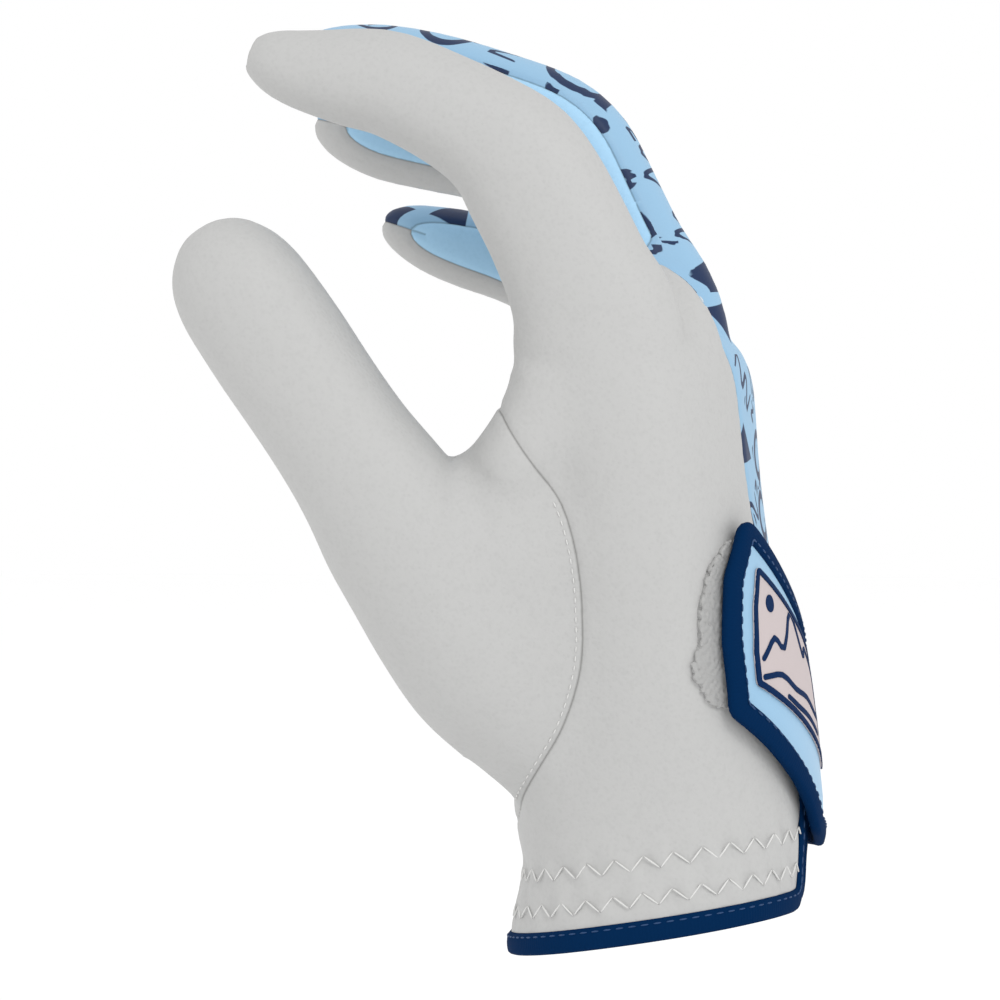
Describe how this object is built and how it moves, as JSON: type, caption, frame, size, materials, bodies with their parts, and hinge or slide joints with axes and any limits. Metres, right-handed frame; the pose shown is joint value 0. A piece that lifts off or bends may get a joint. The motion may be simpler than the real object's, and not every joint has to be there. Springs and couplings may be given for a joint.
{
  "type": "golf glove",
  "caption": "Right-hand golf glove in white leather with a blue printed back, bound cuff and slit, and a hook-and-loop tab that closes over the back of the wrist.",
  "frame": {"origin": "centre of the cuff opening, where the hand goes in", "axes": "+Z from the cuff to the fingers, +X out of the back of the hand, -Y towards the thumb side"},
  "size_m": [0.1186, 0.0934, 0.1803],
  "materials": {
    "white_leather": "soft matt cabretta",
    "printed_blue_leather": "smooth synthetic leather, printed",
    "plain_blue_leather": "smooth synthetic leather",
    "navy_tape": "woven binding tape",
    "tab_blue": "smooth synthetic leather",
    "badge_print": "printed and moulded",
    "loop_pile": "brushed loop pile",
    "hook_strip": "hook strip",
    "elastic_webbing": "elastic webbing",
    "white_thread": "sewing thread"
  },
  "bodies": {
    "hand": {"palm_panel": "white_leather", "back_panel": "printed_blue_leather", "thumb_base_panel": "white_leather", "cuff_binding": "navy_tape", "slit_binding": "navy_tape", "back_seam_thread": "white_thread", "thumb_seam_thread": "white_thread", "wrist_elastic": "elastic_webbing", "zigzag_stitches": "white_thread", "loop_patch": "loop_pile", "tab_anchor": "tab_blue"},
    "closure_tab": {"tab_face": "tab_blue", "tab_binding": "navy_tape", "tab_badge": "badge_print", "badge_border": "navy_tape", "tab_hook_pad": "hook_strip"},
    "index_base": {"index_base_back": "white_leather", "index_base_fourchette_outer": "plain_blue_leather", "index_base_front": "white_leather"},
    "index_tip": {"index_tip_back": "white_leather", "index_tip_fourchette_outer": "plain_blue_leather", "index_tip_front": "white_leather"},
    "middle_base": {"middle_base_back": "printed_blue_leather", "middle_base_fourchette_inner": "plain_blue_leather", "middle_base_fourchette_outer": "plain_blue_leather", "middle_base_front": "white_leather"},
    "middle_tip": {"middle_tip_back": "printed_blue_leather", "middle_tip_fourchette_inner": "plain_blue_leather", "middle_tip_fourchette_outer": "plain_blue_leather", "middle_tip_front": "white_leather"},
    "ring_base": {"ring_base_back": "printed_blue_leather", "ring_base_fourchette_inner": "plain_blue_leather", "ring_base_fourchette_outer": "plain_blue_leather", "ring_base_front": "white_leather"},
    "ring_tip": {"ring_tip_back": "printed_blue_leather", "ring_tip_fourchette_inner": "plain_blue_leather", "ring_tip_fourchette_outer": "plain_blue_leather", "ring_tip_front": "white_leather"},
    "little_base": {"little_base_back": "printed_blue_leather", "little_base_fourchette_inner": "plain_blue_leather", "little_base_front": "white_leather"},
    "little_tip": {"little_tip_back": "printed_blue_leather", "little_tip_fourchette_inner": "plain_blue_leather", "little_tip_front": "white_leather"},
    "thumb_middle": {"thumb_middle_sleeve": "white_leather"},
    "thumb_tip": {"thumb_tip_sleeve": "white_leather"}
  },
  "joints": [
    {"name": "index_knuckle", "type": "hinge", "parent": "hand", "child": "index_base", "pos_m": [-0.003, -0.0333, 0.114], "axis": [0, -0.999, -0.0436], "range_deg": [-30, 12]},
    {"name": "index_middle_joint", "type": "hinge", "parent": "index_base", "child": "index_tip", "pos_m": [-0.0212, -0.03475, 0.14727], "axis": [0, -0.999, -0.0436], "range_deg": [-40, 15]},
    {"name": "middle_knuckle", "type": "hinge", "parent": "hand", "child": "middle_base", "pos_m": [-0.0035, -0.011, 0.119], "axis": [0, -1, -0.0087], "range_deg": [-25, 30]},
    {"name": "middle_middle_joint", "type": "hinge", "parent": "middle_base", "child": "middle_tip", "pos_m": [-0.0112, -0.01127, 0.1501], "axis": [0, -1, -0.0087], "range_deg": [-45, 40]},
    {"name": "ring_knuckle", "type": "hinge", "parent": "hand", "child": "ring_base", "pos_m": [-0.005, 0.01, 0.114], "axis": [0, -0.9995, 0.0314], "range_deg": [-25, 30]},
    {"name": "ring_middle_joint", "type": "hinge", "parent": "ring_base", "child": "ring_tip", "pos_m": [-0.018, 0.01097, 0.14478], "axis": [0, -0.9995, 0.0314], "range_deg": [-45, 40]},
    {"name": "little_knuckle", "type": "hinge", "parent": "hand", "child": "little_base", "pos_m": [-0.0085, 0.0302, 0.101], "axis": [0, -0.9969, 0.0785], "range_deg": [-25, 30]},
    {"name": "little_middle_joint", "type": "hinge", "parent": "little_base", "child": "little_tip", "pos_m": [-0.0224, 0.03213, 0.12552], "axis": [0, -0.9969, 0.0785], "range_deg": [-40, 40]},
    {"name": "thumb_root_joint", "type": "hinge", "parent": "hand", "child": "thumb_middle", "pos_m": [-0.045, -0.0365, 0.0806], "axis": [0.8271, 0.001, 0.5621], "range_deg": [-20, 12]},
    {"name": "thumb_end_joint", "type": "hinge", "parent": "thumb_middle", "child": "thumb_tip", "pos_m": [-0.0626, -0.0395, 0.1065], "axis": [0.8267, 0.0008, 0.5627], "range_deg": [-25, 12]},
    {"name": "tab_fold", "type": "hinge", "parent": "hand", "child": "closure_tab", "pos_m": [0.02275, 0.0254, 0.03], "axis": [-0.0147, 0, 0.9999], "range_deg": [0, 100]}
  ]
}
